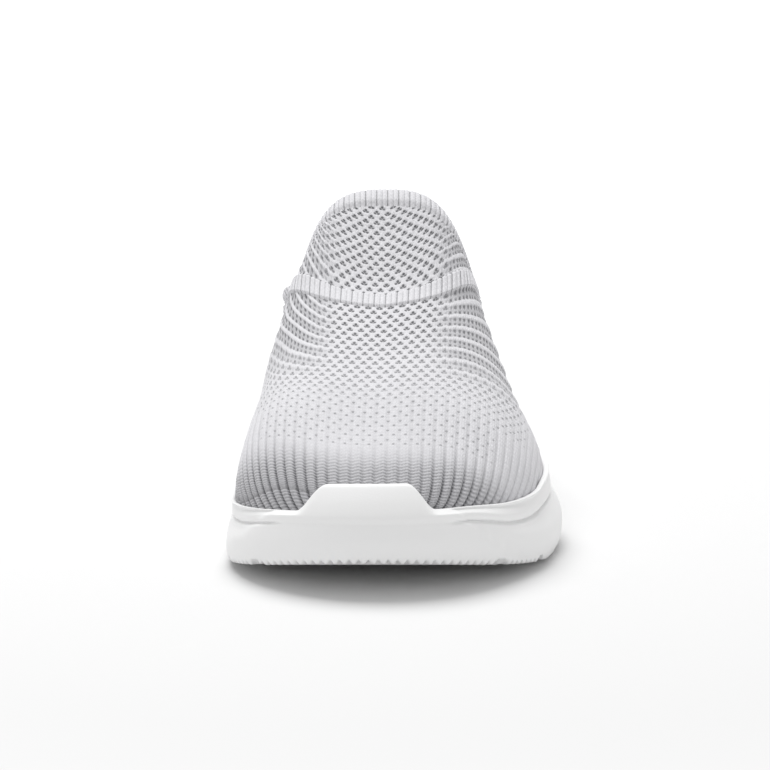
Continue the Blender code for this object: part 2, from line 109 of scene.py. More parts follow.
SIDE_COLUMNS = 210      # columns of the knit's mesh on each side of the top line
RIBBED_COLUMNS = 330    # the same for the band and the cuff
TOE_ROWS, VAMP_ROWS, BAND_ROWS, TONGUE_ROWS, LINING_ROWS = 150, 215, 24, 120, 170
CUFF_ROWS, LIP_ROWS = 12, 11
TOE_SHARE = 0.34        # share of the way to the band where the toe's piece ends


def table(columns, *rows):
    """A short table as named columns, one row for each section."""
    return dict(zip(columns.split(), np.array(rows, float).T))


OUTLINE = table(
    "station centre medial lateral",
    (0.00, -0.033, 0.405, 0.418),
    (0.10, -0.024, 0.440, 0.464),
    (0.20, -0.010, 0.460, 0.512),
    (0.30, 0.000, 0.460, 0.536),
    (0.38, 0.000, 0.440, 0.512),
    (0.48, 0.000, 0.402, 0.452),
    (0.58, 0.000, 0.372, 0.410),
    (0.68, 0.000, 0.355, 0.385),
    (0.78, 0.000, 0.350, 0.370),
    (0.88, 0.000, 0.350, 0.360),
    (1.00, 0.000, 0.335, 0.350),
)
TOE_CAP, TOE_CAP_POWER = 0.20, 2.1
HEEL_CAP, HEEL_CAP_POWER = 0.14, 2.2

SIDE = table(
    "station rim_medial rim_lateral drop_medial drop_lateral width_medial width_lateral",
    (0.00, 0.655, 0.655, 0.085, 0.085, 0.044, 0.044),
    (0.04, 0.615, 0.640, 0.085, 0.100, 0.042, 0.046),
    (0.10, 0.560, 0.590, 0.120, 0.150, 0.035, 0.052),
    (0.25, 0.500, 0.600, 0.155, 0.185, 0.030, 0.060),
    (0.40, 0.570, 0.690, 0.185, 0.205, 0.029, 0.064),
    (0.55, 0.750, 0.790, 0.215, 0.215, 0.030, 0.058),
    (0.70, 0.875, 0.865, 0.225, 0.225, 0.035, 0.052),
    (0.85, 0.955, 0.945, 0.230, 0.230, 0.046, 0.050),
    (1.00, 1.000, 1.000, 0.230, 0.230, 0.050, 0.050),
)

SECTIONS = table(
    "station top across medial_x medial_z lateral_x lateral_z waist",
    (0.00, 0.435, -0.033, 2.0, 2.0, 2.0, 2.0, 0.000),
    (0.10, 0.467, -0.028, 2.4, 2.2, 2.1, 1.9, 0.000),
    (0.20, 0.551, -0.018, 2.8, 2.2, 2.3, 1.6, 0.000),
    (0.30, 0.605, -0.008, 2.9, 2.1, 2.3, 1.5, 0.000),
    (0.40, 0.690, 0.000, 3.0, 2.1, 2.4, 1.5, 0.000),
    (0.45, 0.743, 0.004, 3.6, 2.5, 2.8, 1.7, 0.000),
    (0.51, 0.873, 0.008, 4.0, 2.6, 3.0, 2.0, 0.065),
    (0.563, 1.000, 0.008, 2.9, 2.1, 2.7, 1.9, 0.100),
    (0.59, 1.010, 0.008, 3.0, 2.4, 2.5, 1.8, 0.090),
    (0.62, 1.016, 0.009, 3.5, 2.9, 2.3, 1.6, 0.000),
    (0.65, 1.020, 0.010, 3.5, 3.6, 2.1, 1.6, 0.000),
    (0.77, 1.020, 0.010, 3.5, 4.4, 2.1, 1.9, 0.000),
)

LINES = table(
    "up band_front band_back collar",
    (0.00, 0.725, 0.743, 0.770),
    (0.08, 0.718, 0.737, 0.765),
    (0.18, 0.694, 0.714, 0.744),
    (0.28, 0.636, 0.658, 0.690),
    (0.36, 0.578, 0.600, 0.628),
    (0.42, 0.547, 0.570, 0.598),
    (0.48, 0.522, 0.547, 0.579),
    (0.54, 0.502, 0.529, 0.571),
    (0.62, 0.476, 0.506, 0.567),
    (0.75, 0.436, 0.466, 0.564),
    (0.88, 0.410, 0.440, 0.563),
    (1.00, 0.400, 0.430, 0.563),
)
BAND_BOW = 0.009        # how far the band's line runs ahead on the inner side, as a station
BAND_ENDS = (0.20, 0.42)

# Camera: a long lens 1.2 m away, 10 degrees up, straight in front of the toe
CAMERA_AT = 1.2
CAMERA_UP = np.radians(10)
FOCAL = 3665.7          # in pixels of the square picture
PICTURE = 770
AIM = Vector((0, 0, 0.045))
AIM_PIXEL = (395.6, 372.2)

# Rows of the knit against the height of the top line in the front view
ROW_PIXELS = (560, 451.6, 308.6, 290.7, 205, 150)
ROW_NUMBERS = (-23.6, 0, 31, 35, 51.8, 62.6)


def smooth(columns, name, at):
    """Value of a table's column on a cubic through its rows, with slopes by central differences."""
    key = columns.get("station", columns.get("up"))
    value = columns[name]
    slope = np.gradient(value, key)
    at = np.clip(at, key[0], key[-1])
    row = np.clip(np.searchsorted(key, at, side="right") - 1, 0, len(key) - 2)
    span = key[row + 1] - key[row]
    s = (at - key[row]) / span
    start = (2 * s**3 - 3 * s**2 + 1) * value[row] + (s**3 - 2 * s**2 + s) * span * slope[row]
    end = (3 * s**2 - 2 * s**3) * value[row + 1] + (s**3 - s**2) * span * slope[row + 1]
    return start + end


def ease(value, low, high):
    """0 below low, 1 above high, and a smooth rise 3s^2 - 2s^3 between them."""
    s = np.clip((value - low) / (high - low), 0.0, 1.0)
    return s * s * (3 - 2 * s)


def round_end(share, power):
    """Rise from 0 to 1 along a quarter of a superellipse."""
    return (1 - (1 - np.clip(share, 0.0, 1.0)) ** power) ** (1 / power)


def outline_points(each_side):
    """Closed outline of the sole, toe to heel on the inner side and back on the outer side.

    Half the width at a station is the table's, times a rounded end at the toe and at the heel. The
    points are spread evenly along each side. Also their outward normals, stations and sides.
    """
    turn = np.pi * np.arange(2001) / 2000
    station = (1 - np.cos(turn)) / 2
    cap = round_end(station / TOE_CAP, TOE_CAP_POWER)
    cap = cap * round_end((1 - station) / HEEL_CAP, HEEL_CAP_POWER)
    middle = smooth(OUTLINE, "centre", station) * BALL_WIDTH
    inner = middle - smooth(OUTLINE, "medial", station) * cap * BALL_WIDTH
    outer = middle + smooth(OUTLINE, "lateral", station) * cap * BALL_WIDTH
    shift = (outer.max() + inner.min()) / 2
    loops = []
    for x in (inner, outer):
        run = np.concatenate([[0], np.cumsum(np.hypot(np.diff(x), np.diff(station * LENGTH)))])
        at = np.linspace(0, run[-1], each_side + 1)
        loops.append(np.stack([np.interp(at, run, x - shift), np.interp(at, run, station)], axis=1))
    flat = np.concatenate([loops[0], loops[1][-2:0:-1]])
    side = np.concatenate([np.zeros(each_side + 1), np.ones(each_side - 1)])
    points = np.stack([flat[:, 0], flat[:, 1] * LENGTH - LENGTH / 2], axis=1)
    tangent = np.roll(points, -1, axis=0) - np.roll(points, 1, axis=0)
    tangent /= np.linalg.norm(tangent, axis=1)[:, None]
    normal = np.stack([-tangent[:, 1], tangent[:, 0]], axis=1)
    if normal[0, 1] > 0:
        normal = -normal
    return points, normal, flat[:, 1], side, -shift


def by_side(name, station, side):
    """A pair of columns of the side table, read on the inner (0) or outer (1) side."""
    inner, outer = (smooth(SIDE, name + end, station) for end in ("_medial", "_lateral"))
    return np.where(side > 0, outer, inner)


def bottom(station):
    """Height of the sole's underside: toe spring, forefoot flat, arch, heel flat and heel bevel."""
    behind = station * LENGTH
    spring = TOE_SPRING * np.clip(1 - behind / SPRING_LENGTH, 0, 1) ** SPRING_POWER
    along = np.clip((station - ARCH[0]) / (ARCH[1] - ARCH[0]), 0, 1)
    arch = ARCH_LIFT * np.sin(np.pi * along) ** 2
    heel = HEEL_BEVEL * np.clip((station - BEVEL_FROM) / (1 - BEVEL_FROM), 0, 1) ** 2
    return spring + arch + heel


def rim(station, side):
    """Height of the sole's edge where it meets the knit, without the toe bumper."""
    return HEEL_HEIGHT * by_side("rim", station, side)


def cup_floor(station):
    """Height of the floor of the sole's cup, level from side to side."""
    edge = (rim(station, 0) + rim(station, 1)) / 2
    return edge - CUP_DEPTH - HEEL_RIM * ease(station, *HEEL_RIM_RISE)


SOLE_HALF = 560
OUTER, NORMAL, STATION, SIDE_OF, AXIS = outline_points(SOLE_HALF)
RIM_WIDTH = BALL_WIDTH * by_side("width", STATION, SIDE_OF)
FOOT = OUTER - NORMAL * RIM_WIDTH[:, None]
INNER_LINE = FOOT[: SOLE_HALF + 1]
OUTER_LINE = np.concatenate([FOOT[:1], FOOT[: SOLE_HALF - 1 : -1]])
TOE_BACK = FOOT[0, 1]


def half_edges(y):
    """X of the knit's lower edge at Y, on the inner and on the outer side."""
    return [np.interp(y, line[:, 1], line[:, 0]) for line in (INNER_LINE, OUTER_LINE)]


def top_line(y):
    """X and height of the top line at Y: the table's, rounded down to the sole at the toe."""
    station = (y + LENGTH / 2) / LENGTH
    base = (rim(station, 0) + rim(station, 1)) / 2
    high = TONGUE_HEIGHT * smooth(SECTIONS, "top", station)
    z = base + (high - base) * round_end((y - TOE_BACK) / TOE_ROUND, TOE_ROUND_POWER)
    return BALL_WIDTH * smooth(SECTIONS, "across", station) + AXIS, z


def drawn_in(station, share):
    """Factor on the half width at a share of the height: the waist is deepest two thirds up."""
    return 1 - smooth(SECTIONS, "waist", station) * 6.75 * share * share * (1 - share)


def inside(x, y, z):
    """Below 0 inside the knit's outer face and above 0 outside it."""
    station = (y + LENGTH / 2) / LENGTH
    inner, outer = half_edges(y)
    middle, high = top_line(y)
    on_outer = x > middle
    edge = np.where(on_outer, outer, inner)
    powers = []
    for end in ("_x", "_z"):
        outer_power = smooth(SECTIONS, "lateral" + end, station)
        powers.append(np.where(on_outer, outer_power, smooth(SECTIONS, "medial" + end, station)))
    power_x, power_z = powers
    base = rim(station, on_outer)
    across = np.abs((x - middle) / np.where(np.abs(edge - middle) < TINY, TINY, edge - middle))
    upward = np.clip((z - base) / np.maximum(high - base, TINY), 0, None)
    across = across / drawn_in(station, np.minimum(upward, 1))
    return np.where(y <= TOE_BACK, 1.0, across**power_x + upward**power_z - 1)


# The knit's outer face as a grid: rows evenly spaced along the top line, columns across
ROW_STEP = 0.0003
ACROSS = 160


def knit_grid():
    """X, Z at each row and share across, and for each row its Y, ridge distance and side lengths.

    Each side of a section is a superellipse quarter from the top line down to the sole's edge,
    resampled by the share of its own length.
    """
    y = TOE_BACK + (0.77 * LENGTH - LENGTH / 2 - TOE_BACK) * np.linspace(0, 1, 6001) ** 3
    run = np.concatenate([[0], np.cumsum(np.hypot(np.diff(y), np.diff(top_line(y)[1])))])
    r = np.arange(0, run[-1] + ROW_STEP, ROW_STEP)
    y = np.interp(r, run, y)
    station = (y + LENGTH / 2) / LENGTH
    turn = np.linspace(0, np.pi / 2, 361)[None, :]
    middle, high = top_line(y)
    share = np.linspace(0, 1, ACROSS + 1)
    sheets = []
    lengths = []
    for side, name in ((0, "medial"), (1, "lateral")):
        power_x = smooth(SECTIONS, name + "_x", station)[:, None]
        power_z = smooth(SECTIONS, name + "_z", station)[:, None]
        edge = half_edges(y)[side]
        base = np.minimum(rim(station, side), high)
        rise = np.sin(turn) ** (2 / power_z)
        x = np.cos(turn).clip(0) ** (2 / power_x) * drawn_in(station[:, None], rise)
        x = middle[:, None] + (edge - middle)[:, None] * x
        z = base[:, None] + (high - base)[:, None] * rise
        step = np.hypot(np.diff(x, axis=1), np.diff(z, axis=1))
        run = np.concatenate([np.zeros((len(y), 1)), np.cumsum(step, axis=1)], axis=1)
        total = np.maximum(run[:, -1:], 1e-9)
        pair = [(np.interp(share, k, a), np.interp(share, k, b)) for k, a, b in zip(run / total, x, z)]
        sheets.append(np.array(pair))
        lengths.append(total[:, 0])
    inner, outer = sheets
    both = np.concatenate([inner, outer[:, :, -2::-1]], axis=2)
    return both[:, 0], both[:, 1], y, r, lengths


GRID_X, GRID_Z, GRID_Y, GRID_R, HALF_LENGTHS = knit_grid()


def read(grid, r, c):
    """Bilinear reading of a grid at ridge distance r and share across c."""
    i = np.clip(r / ROW_STEP, 0, len(GRID_R) - 1.001)
    j = np.clip((c + 1) * ACROSS, 0, 2 * ACROSS - 0.001)
    i0, j0 = i.astype(int), j.astype(int)
    s, t = i - i0, j - j0
    low = grid[i0, j0] * (1 - t) + grid[i0, j0 + 1] * t
    high = grid[i0 + 1, j0] * (1 - t) + grid[i0 + 1, j0 + 1] * t
    return low * (1 - s) + high * s


def on_knit(r, c):
    """Points of the knit's outer face; past c of 1 they go straight down behind the sole's edge."""
    inside_c = np.clip(c, -1, 1)
    x = read(GRID_X, r, inside_c)
    z = read(GRID_Z, r, inside_c) - (np.abs(c) - np.abs(inside_c))
    return np.stack([x, np.interp(r, GRID_R, GRID_Y), z], axis=-1)


def bowed(name, c):
    """Station of a line of the band: ahead of the table's on the inner side, behind on the outer."""
    return smooth(LINES, name, 1 - np.abs(c)) + BAND_BOW * 4 * c * (1 - np.abs(c))


def front_view_pixel(y, z):
    """How far down the front view a point of the top line stands, in pixels."""
    over, ahead = z - AIM.z, -y
    up = over * np.cos(CAMERA_UP) - ahead * np.sin(CAMERA_UP)
    depth = CAMERA_AT - ahead * np.cos(CAMERA_UP) - over * np.sin(CAMERA_UP)
    return AIM_PIXEL[1] - FOCAL * up / depth


ROW_AT = np.interp(-front_view_pixel(GRID_Y, top_line(GRID_Y)[1]), [-p for p in ROW_PIXELS], ROW_NUMBERS)
SWEEP_C = np.linspace(0, 1, 80)
SWEEP = []              # distance back of the band's line at distances across, on each side
for sign, lengths in zip((-1, 1), HALF_LENGTHS):
    line = bowed("band_front", sign * SWEEP_C)
    away = SWEEP_C * np.interp(line * LENGTH - LENGTH / 2, GRID_Y, lengths)
    SWEEP.append((away, (line - line[0]) * LENGTH))
ROWS_AHEAD = 1000       # rows in a metre where the count goes on ahead of the toe
SWAY_BEHIND = (0.0, 0.030, 0.108)       # distances behind the toe
SWAY = ((0.75, 0.75, 1.0), (0.30, 0.35, 1.0))   # share of the band's sweep there, on each side
INNER_SWEEP = 0.030     # more sweep low on the inner side
INNER_FROM = (0.016, 0.054)             # distances across over which it grows
INNER_BEHIND = (0.035, 0.115)           # distances behind the toe over which it grows


def fabric(r, c):
    """Distance across from the top line and row number of the knit at each point.

    A row runs parallel to the band: it lies further back by the band's own sweep at that distance
    across, times a share that falls towards the toe.
    """
    y = np.interp(r, GRID_R, GRID_Y)
    half = np.where(c < 0, np.interp(r, GRID_R, HALF_LENGTHS[0]), np.interp(r, GRID_R, HALF_LENGTHS[1]))
    across = np.clip(c, -1, 1) * half
    far = np.abs(across)
    sweep = np.where(c < 0, np.interp(far, *SWEEP[0]), np.interp(far, *SWEEP[1]))
    more = INNER_SWEEP * ease(far, *INNER_FROM) * ease(y + LENGTH / 2, *INNER_BEHIND)
    y = y - np.where(c < 0, more, 0)
    back = y
    for _ in range(16):
        inner, outer = (np.interp(back + LENGTH / 2, SWAY_BEHIND, sway) for sway in SWAY)
        back = y - sweep * np.where(c < 0, inner, outer)
    before = np.minimum(back - GRID_Y[0], 0) * ROWS_AHEAD
    return across, np.interp(back, GRID_Y, ROW_AT) + before


def zones(across, row):
    """How open the holes are, how far rows pair into ridges, and how deep the toe's ribs are."""
    far = np.abs(across)
    plain = np.interp(row, (1, 7, 9, 20, 28, 33), (0.031, 0.031, 0.044, 0.046, 0.055, 0.080))
    open_ = np.interp(row, (0.4, 0.6, 8, 16, 26), (0, 0.16, 0.30, 0.60, 1.0))
    open_ = open_ * (1 - ease(far, plain, plain + 0.012))
    pair = ease(far, 0.013, 0.027) * ease(row, 14, 22)
    pair = pair * (1 - 0.6 * ease(far, 0.055, 0.085))
    fading = np.interp(row, (-7, 1, 12, 18), (1.0, 0.42, 0.14, 0.0))
    rib = fading * np.maximum(0.45 + 0.55 * ease(far, 0.008, 0.024), ease(row, 2, 8))
    return open_, pair, rib


def wave(value):
    """Distance of a number from the nearest whole one, 0 to 0.5."""
    return np.abs(value - np.round(value))


def knit_relief(across, row, open_, pair, rib):
    """Height of the knit over its mean face: rib grooves, dimples in half-drop and paired ridges."""
    column = across / COLUMN
    groove = np.exp(-((wave(column) / 0.17) ** 2))
    crown = 0.35 * (2 * wave(column)) ** 2
    nearest = np.round(row)
    shifted = column - 0.5 * (nearest % 2)
    dimple = np.exp(-((wave(shifted) / 0.26) ** 2) - ((row - nearest) / 0.36) ** 2)
    sunk = 1 - ease(2 * wave((row - 0.5) / 2), 0.50, 0.80)
    relief = -RIB_DEPTH * rib * (groove - crown)
    relief = relief - HOLE_DEPTH * open_ * (1 - 0.6 * pair) * dimple
    return relief - RIDGE_DEPTH * pair * sunk


def fine_ribs(across, width):
    """Depth of the band's and cuff's grooves, two to a column, every second one deeper."""
    column = across / COLUMN
    return np.exp(-((wave(column * 2) / width) ** 2)) * (0.7 + 0.6 * (wave(column) < 0.25))


def normals(points):
    """Outward unit normals of a grid of points, from the cross product of its two differences."""
    along = np.gradient(points, axis=0)
    round_ = np.gradient(points, axis=1)
    normal = np.cross(along, round_)
    normal /= np.maximum(np.linalg.norm(normal, axis=2), 1e-12)[:, :, None]
    middle = points.shape[1] // 2
    return normal * np.sign(normal[-1, middle, 2])


def grid_mesh(name, points, material, merge=0.0, flip=False, fields=None):
    """A mesh object from a grid of points, with named attributes of up to three numbers each."""
    rows, columns = points.shape[:2]
    number = np.arange(rows * columns).reshape(rows, columns)
    quads = np.stack([number[:-1, :-1], number[:-1, 1:], number[1:, 1:], number[1:, :-1]], axis=-1)
    quads = quads.reshape(-1, 4)[:, ::-1] if flip else quads.reshape(-1, 4)
    return face_mesh(name, points.reshape(-1, 3), quads, material, merge, fields)


def face_mesh(name, points, quads, material, merge=0.0, fields=None):
    """A smooth mesh object at the origin from points and quads, linked and riding on the body."""
    mesh = bpy.data.meshes.new(name)
    mesh.vertices.add(len(points))
    mesh.vertices.foreach_set("co", points.astype(np.float32).ravel())
    mesh.loops.add(quads.size)
    mesh.loops.foreach_set("vertex_index", quads.astype(np.int32).ravel())
    mesh.polygons.add(len(quads))
    mesh.polygons.foreach_set("loop_start", np.arange(0, quads.size, 4, dtype=np.int32))
    mesh.update(calc_edges=True)
    for field, values in (fields or {}).items():
        filled = np.zeros((len(points), 3), np.float32)
        filled[:, : values.shape[-1]] = values.reshape(len(points), -1)
        mesh.attributes.new(field, "FLOAT_VECTOR", "POINT").data.foreach_set("vector", filled.ravel())
    if merge:
        made = bmesh.new()
        made.from_mesh(mesh)
        bmesh.ops.remove_doubles(made, verts=made.verts, dist=merge)
        bmesh.ops.dissolve_degenerate(made, edges=made.edges, dist=1e-8)
        made.to_mesh(mesh)
        made.free()
    mesh.shade_smooth()
    mesh.materials.append(material)
    piece = bpy.data.objects.new(name, mesh)
    bpy.context.scene.collection.objects.link(piece)
    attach(piece, "root")
    return piece


class Number:
    """A number that varies over a surface, built up from the shader's Math nodes."""

    def __init__(self, tree, socket):
        self.tree, self.socket = tree, socket

    def do(self, operation, *others):
        node = self.tree.nodes.new("ShaderNodeMath")
        node.operation = operation
        for slot, value in zip(node.inputs, (self, *others)):
            if isinstance(value, Number):
                self.tree.links.new(value.socket, slot)
            else:
                slot.default_value = value
        return Number(self.tree, node.outputs[0])

    def __add__(self, other):
        return self.do("ADD", other)

    def __sub__(self, other):
        return self.do("SUBTRACT", other)

    def __mul__(self, other):
        return self.do("MULTIPLY", other)

    def __truediv__(self, other):
        return self.do("DIVIDE", other)

    def flipped(self):
        """One minus the number."""
        return self * -1 + 1

    def wave(self):
        """Distance from the nearest whole number, 0 to 0.5."""
        return (self.do("ADD", 0.5).do("FRACT") - 0.5).do("ABSOLUTE")

    def rise(self, low, high):
        """Smooth rise from 0 at low to 1 at high, or a fall where low is above high."""
        node = self.tree.nodes.new("ShaderNodeMapRange")
        node.interpolation_type = "SMOOTHSTEP"
        self.tree.links.new(self.socket, node.inputs["Value"])
        node.inputs["From Min"].default_value = min(low, high)
        node.inputs["From Max"].default_value = max(low, high)
        node.inputs["To Min"].default_value = float(low > high)
        node.inputs["To Max"].default_value = float(low <= high)
        return Number(self.tree, node.outputs["Result"])


def split(tree, vector):
    """The three numbers of a vector socket."""
    node = tree.nodes.new("ShaderNodeSeparateXYZ")
    tree.links.new(vector, node.inputs[0])
    return [Number(tree, node.outputs[k]) for k in range(3)]


def attribute(tree, name):
    """The three numbers that a mesh carries under a name."""
    node = tree.nodes.new("ShaderNodeAttribute")
    node.attribute_name = name
    return split(tree, node.outputs["Vector"])


def noise(tree, scale, detail=2.0):
    """Soft noise on the object's own coordinates."""
    place = tree.nodes.new("ShaderNodeTexCoord")
    node = tree.nodes.new("ShaderNodeTexNoise")
    node.inputs["Scale"].default_value = scale
    node.inputs["Detail"].default_value = detail
    tree.links.new(place.outputs["Object"], node.inputs["Vector"])
    return Number(tree, node.outputs["Fac"])


def surface(name, dark, light, roughness, sheen=0.0):
    """A material's tree, its shader and a function that mixes its dark and light colour."""
    made = bpy.data.materials.new(name)
    made.use_nodes = True
    tree = made.node_tree
    shader = tree.nodes["Principled BSDF"]
    shader.inputs["Roughness"].default_value = roughness
    shader.inputs["Sheen Weight"].default_value = sheen
    shader.inputs["Sheen Roughness"].default_value = 0.4
    mix = tree.nodes.new("ShaderNodeMix")
    mix.data_type = "RGBA"
    mix.inputs["A"].default_value = (*dark, 1)
    mix.inputs["B"].default_value = (*light, 1)
    tree.links.new(mix.outputs["Result"], shader.inputs["Base Color"])
    return made, tree, shader, mix.inputs["Factor"]


def bump(tree, shader, height, distance):
    """Bump of the shader by a height from 0 to 1, which stands for a distance in metres."""
    node = tree.nodes.new("ShaderNodeBump")
    node.inputs["Strength"].default_value = 1.0
    node.inputs["Distance"].default_value = distance
    tree.links.new(height.socket, node.inputs["Height"])
    tree.links.new(node.outputs["Normal"], shader.inputs["Normal"])


def knit_material(name, dark, light):
    """Grey knit: holes of three lobes in half-drop, paired ridges, toe ribs and fine stitches, with
    painted shade darkening the holes, the sunk rows, the rib grooves and, in part, the lowest rows of
    the toe.
    """
    made, tree, shader, factor = surface(name, dark, light, 0.88, 0.15)
    column, row, ribbed = attribute(tree, "fabric")
    open_, pair, rib = attribute(tree, "zone")
    nearest = (row + 0.5).do("FLOOR")
    odd = (nearest * 0.5).do("FRACT")
    shifted = column - odd
    side_on = shifted.wave()
    along = row - nearest
    # Painted shade: the holes' lobes are coloured dark for the shadowed inside seen through them, and
    # ring paints a shaded dimple round each hole.
    top = (side_on / 0.11).do("POWER", 2.0) + ((along - 0.24) / 0.17).do("POWER", 2.0)
    lobe = ((side_on - 0.15) / 0.12).do("POWER", 2.0) + ((along + 0.14) / 0.19).do("POWER", 2.0)
    ring = (side_on / 0.34).do("POWER", 2.0) + (along / 0.46).do("POWER", 2.0)
    dots = top.rise(1.6, 0.4).do("MAXIMUM", lobe.rise(1.7, 0.5) * open_.rise(0.32, 0.62))
    holes = dots * 0.70 + ring.rise(1.2, 0.4) * open_ * 0.30
    holes = holes * (open_ * 0.58 + 0.47) * open_.rise(0.02, 0.12)
    # Painted shade in the sunk rows between the paired ridges, darkest at the dots where the holes run
    # together.
    merged = (column * 2).wave().rise(0.34, 0.10) * along.do("ABSOLUTE").rise(0.5, 0.15)
    sunk = ((row - 0.5) * 0.5).wave().rise(0.38, 0.26)
    shaded_sunk_rows = sunk * (merged * 0.65 + 0.25) * open_.rise(0.02, 0.4) + sunk * 0.14
    # Painted shade of the holes, and of the sunk rows where the rows pair into ridges; the bump below
    # takes the same mask as their depth.
    shaded_hollows = holes * pair.flipped() + shaded_sunk_rows * pair
    # Painted shade in the toe's rib grooves, on top of the grooves' real depth.
    groove = column.wave().rise(0.20, 0.04)
    # Painted shade in the fine grooves of the band and the cuff.
    ribbing = (column * 2).wave().rise(0.16, 0.03) * (column.wave().rise(0.2, 0.05) * 0.45 + 0.35)
    # Darker low on the toe towards the sole: partly painted shade under the bumper, partly the deeper
    # tone of the purl rows there.
    low = row.rise(1.5, -5.5) * ribbed.flipped()
    ribs = ribbing * ribbed
    shade = shaded_hollows * 0.78 + groove * rib * 0.36 + ribs * 0.62 + low * 0.12
    stitch_row = (row * 1.5 + (column * 4).wave() * 0.8).wave() * 2
    stitch_column = (column * 4).wave() * 2
    purl = ((row * 1.5 + (column + 0.25).wave() * 0.8).wave() * 2) * low
    grain = noise(tree, 900.0, 3.0)
    cloudy = noise(tree, 38.0)
    tone = (shade * -1 + 0.86) + (grain - 0.5) * 0.22 + (cloudy - 0.5) * 0.10
    tone = tone + (stitch_row - 0.5) * 0.06 - purl * 0.42
    tree.links.new(tone.socket, factor)
    height = stitch_row * 0.35 + stitch_column * 0.25 + grain * 0.25
    bump(tree, shader, height - shaded_hollows * 1.1 - ribs * 0.8 - purl * 0.8, 0.00025)
    return made


def foam_material():
    """White moulded foam: a satin skin with faint mottling and fine pores."""
    made, tree, shader, factor = surface("moulded_foam", (0.85,) * 3, (0.93,) * 3, 0.50)
    cloudy = noise(tree, 22.0, 3.0)
    pores = noise(tree, 1400.0, 2.0)
    tree.links.new((cloudy * 0.5 + pores * 0.15 + 0.35).socket, factor)
    shader.inputs["Coat Weight"].default_value = 0.08
    shader.inputs["Coat Roughness"].default_value = 0.35
    bump(tree, shader, pores * 0.6 + noise(tree, 160.0) * 0.4, 0.00006)
    return made


def cloth_material():
    """Brushed insole cloth: a fine weave of crossing threads with a soft nap."""
    dark, light = (0.36, 0.36, 0.375), (0.60, 0.60, 0.615)
    made, tree, shader, factor = surface("insole_cloth", dark, light, 0.95, 0.3)
    place = tree.nodes.new("ShaderNodeTexCoord")
    x, y, _ = split(tree, place.outputs["Object"])
    warp = (x * 900).wave() * 2
    weft = (y * 900).wave() * 2
    nap = noise(tree, 1800.0, 3.0)
    height = warp * weft * 0.6 + nap * 0.4
    tree.links.new((height * 0.5 + noise(tree, 30.0) * 0.3 + 0.2).socket, factor)
    bump(tree, shader, height, 0.00018)
    return made


KNIT = knit_material("grey_knit", (0.13, 0.13, 0.14), (0.78, 0.775, 0.80))
LINING = knit_material("lining_knit", (0.20, 0.20, 0.215), (0.55, 0.55, 0.575))
FOAM = foam_material()
CLOTH = cloth_material()


def shares_across(each_side):
    """Shares across from sole to sole, with a few columns more that tuck behind the sole's edge."""
    tuck = 1 + TUCK * np.array([1.0, 0.5, 0.15])
    body = np.linspace(-1, 1, 2 * each_side + 1)
    return np.concatenate([-tuck, body, tuck[::-1]])


def knit_piece(name, start, stop, rows, each_side, raise_by, ribbed, calm=(0, 0), merge=0.0):
    """One stretch of the knit between two lines, displaced along its normals by its relief.

    start and stop are ridge distances for each share across; the rows lie evenly between them. The
    relief falls to nothing over the lengths named by calm, at the first and the last row.
    """
    c = shares_across(each_side)
    s = np.linspace(0, 1, rows)[:, None]
    r = start(c)[None, :] * (1 - s) + stop(c)[None, :] * s
    c = np.broadcast_to(c, r.shape)
    points = on_knit(r, c)
    normal = normals(points)
    if merge:
        normal[0] = (0, -1, 0)
    across, row = fabric(r, c)
    open_, pair, rib = zones(across, row)
    lift = raise_by(s, c)
    if ribbed:
        open_, pair, rib = open_ * 0, pair * 0, rib * 0
        relief = -BAND_RIB_DEPTH * fine_ribs(across, 0.20)
    else:
        relief = knit_relief(across, row, open_, pair, rib)
        for near, length in zip((r - r[:1], r[-1:] - r), calm):
            relief = relief * (ease(near, 0, length) if length else 1)
    points = points + normal * (relief + lift)[:, :, None]
    fields = {
        "fabric": np.stack([across / COLUMN, row, np.full(row.shape, float(ribbed))], axis=-1),
        "zone": np.stack([open_, pair, rib], axis=-1),
    }
    piece = grid_mesh(name, points, KNIT, merge=merge, flip=True, fields=fields)
    return piece


def up_of(c):
    """Share up from the sole for a share across."""
    return 1 - np.clip(np.abs(c), 0, 1)


def band_front(c):
    return np.interp(bowed("band_front", np.clip(c, -1, 1)) * LENGTH - LENGTH / 2, GRID_Y, GRID_R)


def band_back(c):
    return np.interp(bowed("band_back", np.clip(c, -1, 1)) * LENGTH - LENGTH / 2, GRID_Y, GRID_R)


def collar(c):
    return np.interp(smooth(LINES, "collar", up_of(c)) * LENGTH - LENGTH / 2, GRID_Y, GRID_R)


def cuff_start(c):
    y = smooth(LINES, "collar", up_of(c)) * LENGTH - LENGTH / 2 - CUFF_WIDTH
    return np.interp(y, GRID_Y, GRID_R)


def toe_pole(c):
    return np.zeros(len(c))



def toe_end(c):
    return TOE_SHARE * band_front(c)


def no_lift(s, c):
    return np.zeros(np.broadcast(s, c).shape)


def band_lift(s, c):
    """The band stands out of the knit where it is high up, with rounded edges in front and behind."""
    rounded = ease(s, 0, 0.10) * (1 - ease(s, 0.90, 1.0))
    return BAND_RAISE * (rounded * ease(up_of(c), *BAND_ENDS))


def quick_share(count):
    """Rows and columns as given; the place to ask for fewer while trying things out."""
    return count


sides = quick_share(SIDE_COLUMNS)
ribbed_sides = quick_share(RIBBED_COLUMNS)
toe = knit_piece("knit_toe", toe_pole, toe_end, quick_share(TOE_ROWS), sides, no_lift, False, merge=TINY)
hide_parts("upper")
knit_piece("knit_vamp", toe_end, band_front, quick_share(VAMP_ROWS), sides, no_lift, False, (0, CALM))
knit_piece("knit_band", band_front, band_back, quick_share(BAND_ROWS), ribbed_sides, band_lift, True)
rows = quick_share(TONGUE_ROWS)
knit_piece("knit_tongue", band_back, cuff_start, rows, sides, no_lift, False, (CALM, CALM))


